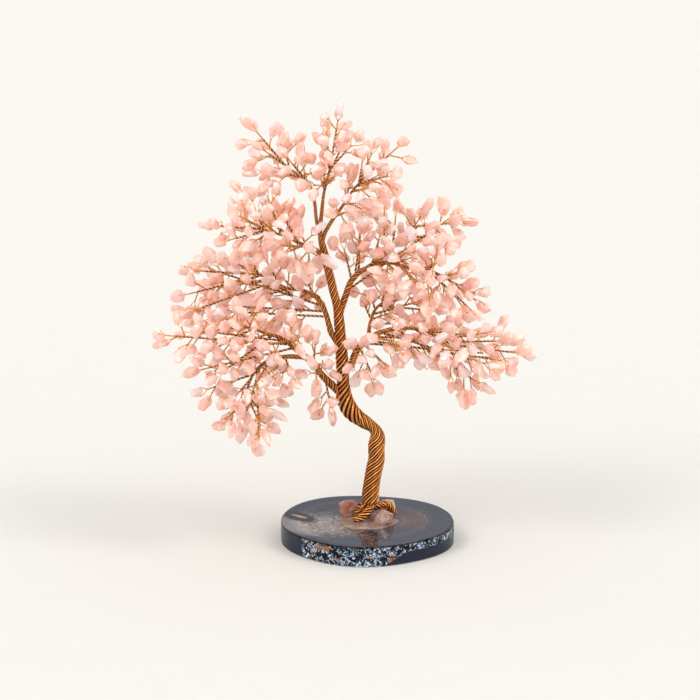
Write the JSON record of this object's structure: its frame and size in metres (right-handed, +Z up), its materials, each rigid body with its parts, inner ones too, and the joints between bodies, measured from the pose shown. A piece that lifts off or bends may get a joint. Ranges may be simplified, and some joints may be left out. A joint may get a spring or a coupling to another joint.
{
  "type": "gemstone tree ornament",
  "caption": "Table ornament: a tree of twisted copper wire with drilled rose quartz chips as leaves, its roots glued among small stones on a slice of agate; the limbs bend.",
  "frame": {"origin": "middle of the agate slice's underside", "axes": "+Z up, +X to the right as seen from the front, -Y towards the viewer"},
  "size_m": [0.2096, 0.1167, 0.2516],
  "materials": {
    "agate": "polished grey agate with bands, and a rough speckled dark rind on its edge",
    "rose_quartz": "tumbled, glossy, cloudy pale pink",
    "quartz_stone": "rough clear quartz, glossy, tinted brown by the copper behind it",
    "copper_wire": "bare copper wire, slightly darkened, twisted",
    "clear_glue": "clear set glue, glossy"
  },
  "bodies": {
    "stand": {"agate_slice": "agate", "foot_glue": "clear_glue", "foot_stone_1": "quartz_stone", "foot_stone_2": "quartz_stone", "foot_stone_3": "quartz_stone", "root_1": "copper_wire", "root_2": "copper_wire", "root_3": "copper_wire", "root_4": "copper_wire", "trunk_bundle": "copper_wire"},
    "left_lower": {"left_lower_limb": "copper_wire", "left_lower_twigs": "copper_wire", "left_lower_loops": "copper_wire", "left_lower_chips": "rose_quartz"},
    "left_droop": {"left_droop_limb": "copper_wire", "left_droop_twigs": "copper_wire", "left_droop_loops": "copper_wire", "left_droop_chips": "rose_quartz"},
    "left_middle": {"left_middle_limb": "copper_wire", "left_middle_twigs": "copper_wire", "left_middle_loops": "copper_wire", "left_middle_chips": "rose_quartz"},
    "left_upper": {"left_upper_limb": "copper_wire", "left_upper_twigs": "copper_wire", "left_upper_loops": "copper_wire", "left_upper_chips": "rose_quartz"},
    "crown_left": {"crown_left_limb": "copper_wire", "crown_left_twigs": "copper_wire", "crown_left_loops": "copper_wire", "crown_left_chips": "rose_quartz"},
    "crown_centre": {"crown_centre_limb": "copper_wire", "crown_centre_twigs": "copper_wire", "crown_centre_loops": "copper_wire", "crown_centre_chips": "rose_quartz"},
    "crown_right": {"crown_right_limb": "copper_wire", "crown_right_twigs": "copper_wire", "crown_right_loops": "copper_wire", "crown_right_chips": "rose_quartz"},
    "right_upper": {"right_upper_limb": "copper_wire", "right_upper_twigs": "copper_wire", "right_upper_loops": "copper_wire", "right_upper_chips": "rose_quartz"},
    "right_middle": {"right_middle_limb": "copper_wire", "right_middle_twigs": "copper_wire", "right_middle_loops": "copper_wire", "right_middle_chips": "rose_quartz"},
    "right_lower": {"right_lower_limb": "copper_wire", "right_lower_twigs": "copper_wire", "right_lower_loops": "copper_wire", "right_lower_chips": "rose_quartz"},
    "right_inner": {"right_inner_limb": "copper_wire", "right_inner_twigs": "copper_wire", "right_inner_loops": "copper_wire", "right_inner_chips": "rose_quartz"}
  },
  "joints": [
    {"name": "left_lower_bend", "type": "hinge", "parent": "stand", "child": "left_lower", "pos_m": [-0.01923, -0.00246, 0.09012], "axis": [0, 0, 1], "range_deg": [-10, 10]},
    {"name": "left_droop_bend", "type": "hinge", "parent": "left_lower", "child": "left_droop", "pos_m": [-0.03955, -0.01161, 0.10911], "axis": [0, 0, 1], "range_deg": [-10, 10]},
    {"name": "left_middle_bend", "type": "hinge", "parent": "stand", "child": "left_middle", "pos_m": [-0.01992, 0.00147, 0.11901], "axis": [0, 0, 1], "range_deg": [-10, 10]},
    {"name": "left_upper_bend", "type": "hinge", "parent": "stand", "child": "left_upper", "pos_m": [-0.02749, -0.00193, 0.16637], "axis": [0, 0, 1], "range_deg": [-10, 10]},
    {"name": "crown_left_bend", "type": "hinge", "parent": "stand", "child": "crown_left", "pos_m": [-0.02751, 0.00143, 0.18103], "axis": [0, 0, 1], "range_deg": [-10, 10]},
    {"name": "crown_centre_bend", "type": "hinge", "parent": "stand", "child": "crown_centre", "pos_m": [-0.02551, -0.00049, 0.18272], "axis": [0, 0, 1], "range_deg": [-10, 10]},
    {"name": "crown_right_bend", "type": "hinge", "parent": "stand", "child": "crown_right", "pos_m": [-0.02332, -0.00105, 0.17627], "axis": [0, 0, 1], "range_deg": [-10, 10]},
    {"name": "right_upper_bend", "type": "hinge", "parent": "stand", "child": "right_upper", "pos_m": [-0.01295, 0.00257, 0.13671], "axis": [0, 0, 1], "range_deg": [-10, 10]},
    {"name": "right_middle_bend", "type": "hinge", "parent": "right_upper", "child": "right_middle", "pos_m": [0.00502, 0.01252, 0.15481], "axis": [0, 0, 1], "range_deg": [-10, 10]},
    {"name": "right_lower_bend", "type": "hinge", "parent": "stand", "child": "right_lower", "pos_m": [-0.00882, -0.00314, 0.10243], "axis": [0, 0, 1], "range_deg": [-10, 10]},
    {"name": "right_inner_bend", "type": "hinge", "parent": "right_lower", "child": "right_inner", "pos_m": [0.00041, -0.00488, 0.11989], "axis": [0, 0, 1], "range_deg": [-10, 10]}
  ]
}
